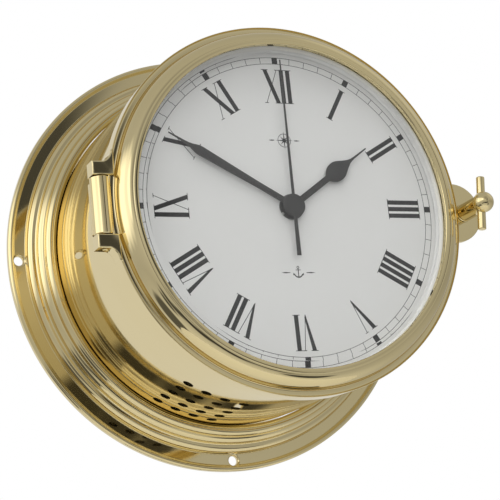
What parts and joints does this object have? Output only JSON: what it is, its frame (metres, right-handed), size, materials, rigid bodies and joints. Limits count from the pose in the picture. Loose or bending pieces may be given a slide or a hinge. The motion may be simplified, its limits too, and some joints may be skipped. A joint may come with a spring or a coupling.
{
  "type": "ship's deck clock",
  "caption": "Round brass wall clock: hinged glazed bezel with clamp screw, deep drum with sound holes, spun flange, Roman dial and quartz strike movement.",
  "frame": {"origin": "centre of the back face, in the plane of the wall", "axes": "+X to 3 o'clock, +Z to 12 o'clock, +Y into the wall, so the dial faces -Y"},
  "size_m": [0.21, 0.1138, 0.21],
  "materials": {
    "polished_brass": "mirror-polished, lacquered",
    "gear_brass": "fine turned",
    "plated_steel": "zinc plated, satin",
    "enamelled_copper": "enamelled copper wire, wound",
    "dial_enamel": "pale grey-white paint, matt, printed",
    "ring_plastic": "white, satin",
    "hand_enamel": "dark grey paint, satin",
    "bevelled_glass": "clear, polished, bevelled rim",
    "black_rubber": "matt",
    "black_plastic": "moulded, matt",
    "white_acetal": "moulded, satin",
    "board_laminate": "green solder mask",
    "cell_jacket": "printed steel jacket, gloss",
    "ferrite": "sintered, matt",
    "cone_paper": "pressed paper, matt"
  },
  "bodies": {
    "case": {"wall_flange": "polished_brass", "drum": "polished_brass", "back_cover": "plated_steel", "back_cover_screw_1": "plated_steel", "back_cover_screw_2": "plated_steel", "back_cover_screw_3": "plated_steel", "hinge_leaf": "polished_brass", "hinge_pin": "polished_brass", "catch_lug": "polished_brass", "dial_plate": "dial_enamel", "dial_ring": "ring_plastic", "dial_nut": "hand_enamel", "movement_case": "black_plastic", "movement_front_plate": "black_plastic", "gear_plate": "white_acetal", "stator": "plated_steel", "coil_core": "plated_steel", "coil_bobbin": "white_acetal", "coil_winding": "enamelled_copper", "circuit_board": "board_laminate", "quartz_can": "plated_steel", "battery_tray": "black_plastic", "battery": "cell_jacket", "battery_contact_positive": "plated_steel", "battery_contact_negative": "plated_steel", "speaker_frame": "plated_steel", "speaker_magnet": "ferrite", "speaker_gasket": "black_rubber", "speaker_lead": "black_rubber", "power_lead": "black_rubber", "strike_board": "board_laminate", "strike_chip": "black_plastic", "strike_capacitor": "cell_jacket", "mode_switch_body": "plated_steel"},
    "bezel_door": {"bezel": "polished_brass", "glass": "bevelled_glass", "glass_gasket": "black_rubber", "glass_retaining_ring": "polished_brass"},
    "washer": {"thrust_washer": "polished_brass"},
    "screw": {"clamp_screw": "polished_brass", "tommy_bar": "polished_brass"},
    "minute": {"cannon_pinion": "gear_brass", "minute_hand": "hand_enamel"},
    "hour": {"hour_wheel": "gear_brass", "hour_hand": "hand_enamel"},
    "motion": {"motion_wheel": "white_acetal"},
    "setting": {"setting_knob": "black_plastic"},
    "seconds": {"seconds_wheel": "white_acetal", "seconds_hand": "hand_enamel"},
    "intermediate": {"intermediate_wheel": "white_acetal"},
    "stepper_rotor": {"rotor": "white_acetal"},
    "third": {"third_wheel": "white_acetal"},
    "centre": {"centre_wheel": "gear_brass"},
    "mode_switch": {"mode_switch_knob": "black_plastic"},
    "cone": {"speaker_cone": "cone_paper"}
  },
  "joints": [
    {"name": "bezel_hinge", "type": "hinge", "parent": "case", "child": "bezel_door", "pos_m": [-0.0881, -0.092, 0], "axis": [0, 0, -1], "range_deg": [0, 115]},
    {"name": "screw_travel", "type": "slide", "parent": "bezel_door", "child": "washer", "axis": [0, -1, 0], "range_m": [0, 0.004]},
    {"name": "screw_turn", "type": "hinge", "parent": "washer", "child": "screw", "pos_m": [0.09245, -0.1, 0], "axis": [0, -1, 0], "range_deg": [0, 1440]},
    {"name": "minute_turn", "type": "hinge", "parent": "case", "child": "minute", "pos_m": [0, -0.09, 0], "axis": [0, 1, 0], "continuous": true},
    {"name": "hour_turn", "type": "hinge", "parent": "case", "child": "hour", "pos_m": [0, -0.09, 0], "axis": [0, 1, 0], "continuous": true},
    {"name": "motion_turn", "type": "hinge", "parent": "case", "child": "motion", "pos_m": [0.011, -0.089, 0], "axis": [0, 1, 0], "continuous": true},
    {"name": "setting_turn", "type": "hinge", "parent": "case", "child": "setting", "pos_m": [0.022, -0.08, 0], "axis": [0, 1, 0], "continuous": true},
    {"name": "seconds_turn", "type": "hinge", "parent": "case", "child": "seconds", "pos_m": [0, -0.085, 0], "axis": [0, 1, 0], "continuous": true},
    {"name": "intermediate_turn", "type": "hinge", "parent": "case", "child": "intermediate", "pos_m": [-0.01039, -0.08, -0.006], "axis": [0, 1, 0], "continuous": true},
    {"name": "rotor_turn", "type": "hinge", "parent": "case", "child": "stepper_rotor", "pos_m": [-0.02047, -0.076, -0.006], "axis": [0, 1, 0], "continuous": true},
    {"name": "third_turn", "type": "hinge", "parent": "case", "child": "third", "pos_m": [0, -0.084, 0.0136], "axis": [0, 1, 0], "continuous": true},
    {"name": "centre_turn", "type": "hinge", "parent": "case", "child": "centre", "pos_m": [0, -0.086, 0], "axis": [0, 1, 0], "continuous": true},
    {"name": "mode_switch_slide", "type": "slide", "parent": "case", "child": "mode_switch", "axis": [1, 0, 0], "range_m": [0, 0.004]},
    {"name": "cone_stroke", "type": "slide", "parent": "case", "child": "cone", "axis": [-0.3616, 0, -0.9323], "range_m": [-0.0005, 0.0005]}
  ],
  "couplings": [
    {"joint": "screw_travel", "follows": "screw_turn", "m_per_rad": 0.00015915},
    {"joint": "hour_turn", "follows": "minute_turn", "ratio": 0.083333},
    {"joint": "motion_turn", "follows": "minute_turn", "ratio": -0.33333},
    {"joint": "setting_turn", "follows": "minute_turn", "ratio": 1},
    {"joint": "intermediate_turn", "follows": "seconds_turn", "ratio": -5},
    {"joint": "rotor_turn", "follows": "seconds_turn", "ratio": 30},
    {"joint": "third_turn", "follows": "seconds_turn", "ratio": -0.13333},
    {"joint": "centre_turn", "follows": "seconds_turn", "ratio": 0.016667}
  ]
}
